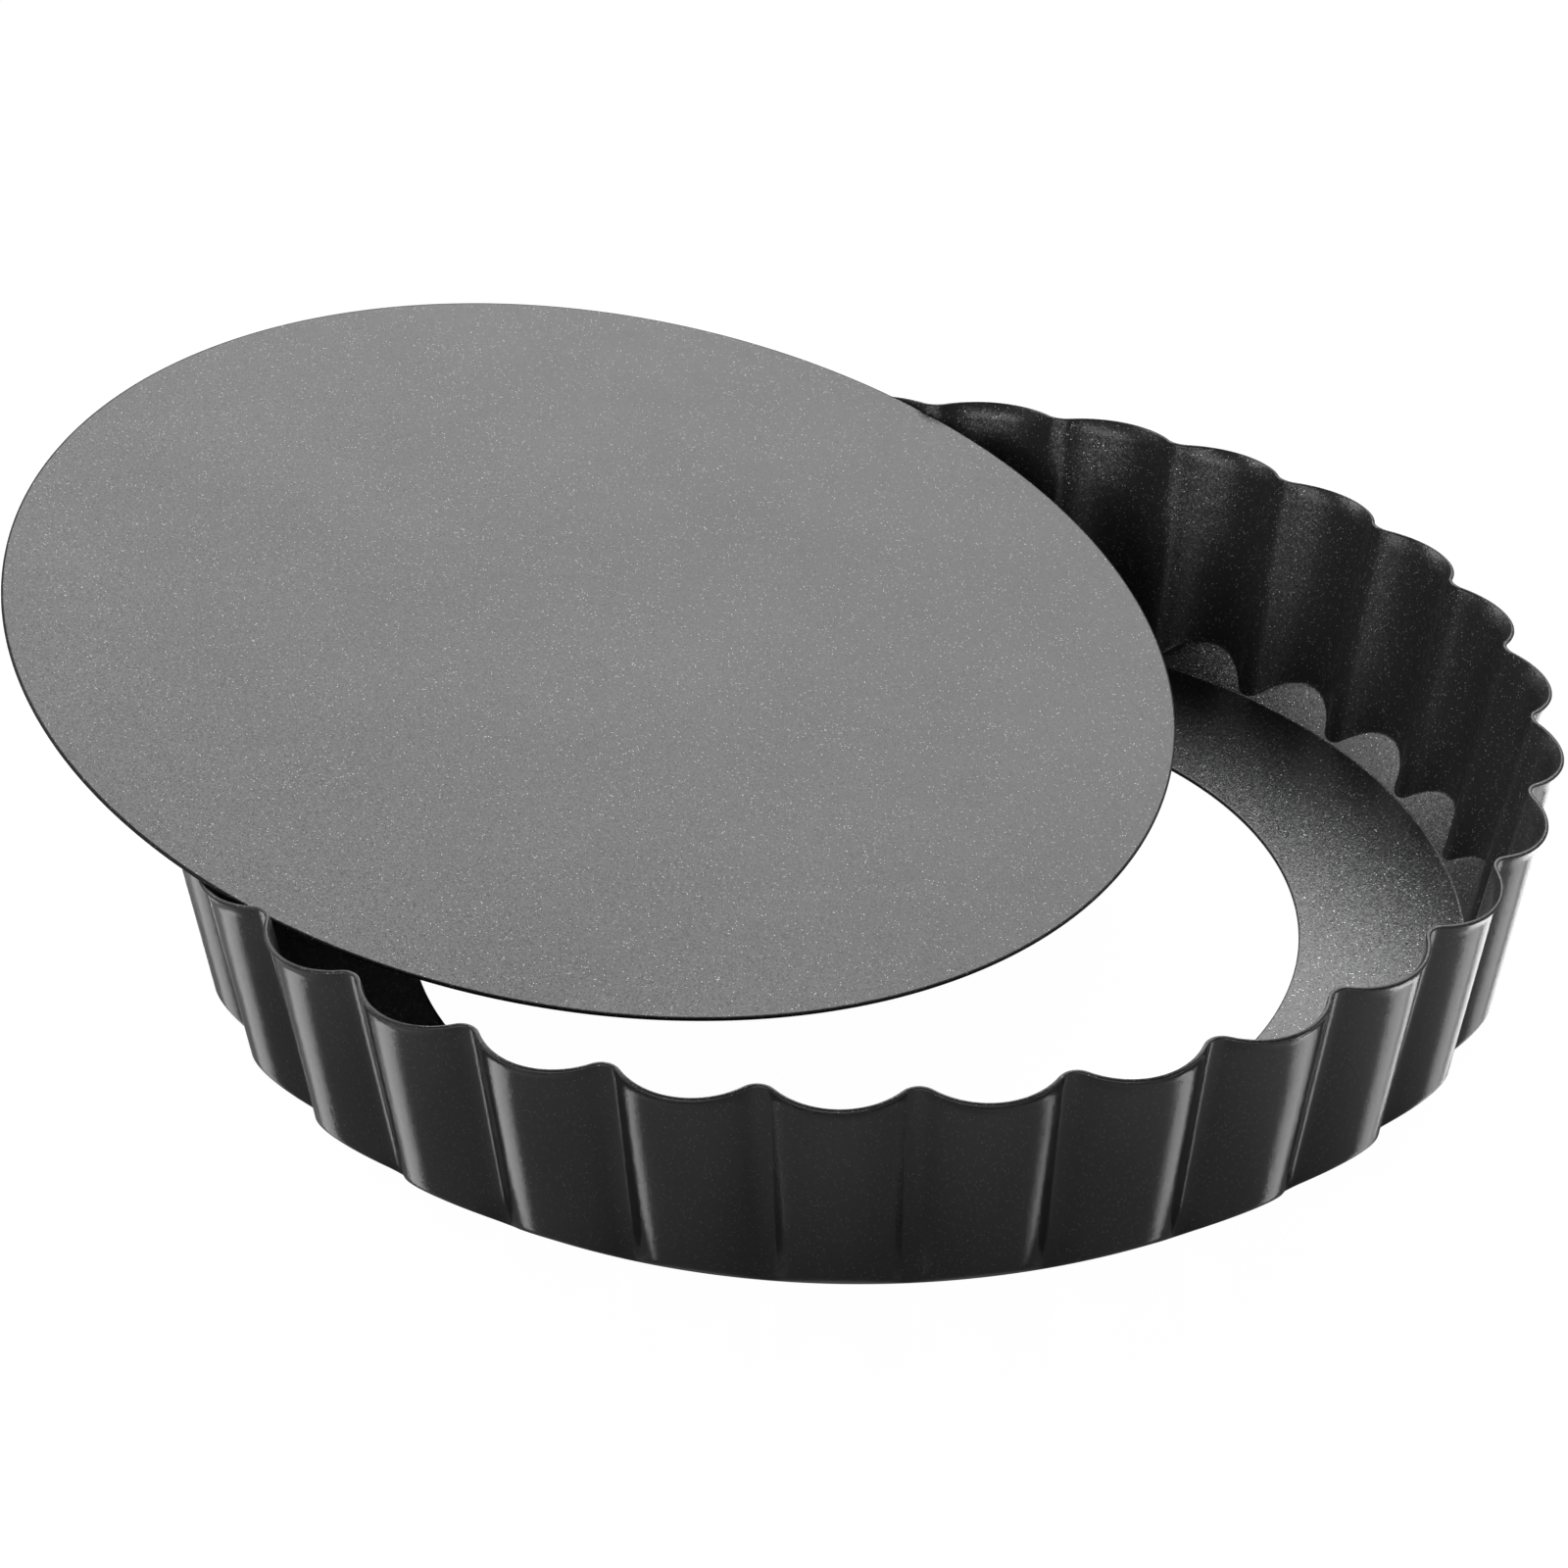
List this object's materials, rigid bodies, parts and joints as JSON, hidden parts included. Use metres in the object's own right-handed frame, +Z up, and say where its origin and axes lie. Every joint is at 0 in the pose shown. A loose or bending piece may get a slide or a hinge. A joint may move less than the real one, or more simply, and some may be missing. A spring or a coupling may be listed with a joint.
{
  "type": "loose-base fluted tart pan",
  "caption": "Round fluted tart pan in dark coated sheet steel: an outward leaning fluted ring with an inner ledge, and a flat loose base that lifts out, leaning on the rim.",
  "frame": {"origin": "on the ring's axis, in the plane of the table that the ring stands on", "axes": "+Z up along the ring's axis; the base leans with its high side towards -X +Y"},
  "size_m": [0.2222, 0.2094, 0.0528],
  "materials": {
    "ring_coating": "satin dark non-stick coating with a fine metallic fleck",
    "base_coating": "fine-grained matt non-stick coating with light and dark fleck"
  },
  "bodies": {
    "ring": {"fluted_ring": "ring_coating"},
    "base": {"loose_base": "base_coating"}
  },
  "joints": [
    {"name": "base_lift", "type": "slide", "parent": "ring", "child": "base", "axis": [0, 0, 1], "range_m": [0, 0.06]}
  ]
}
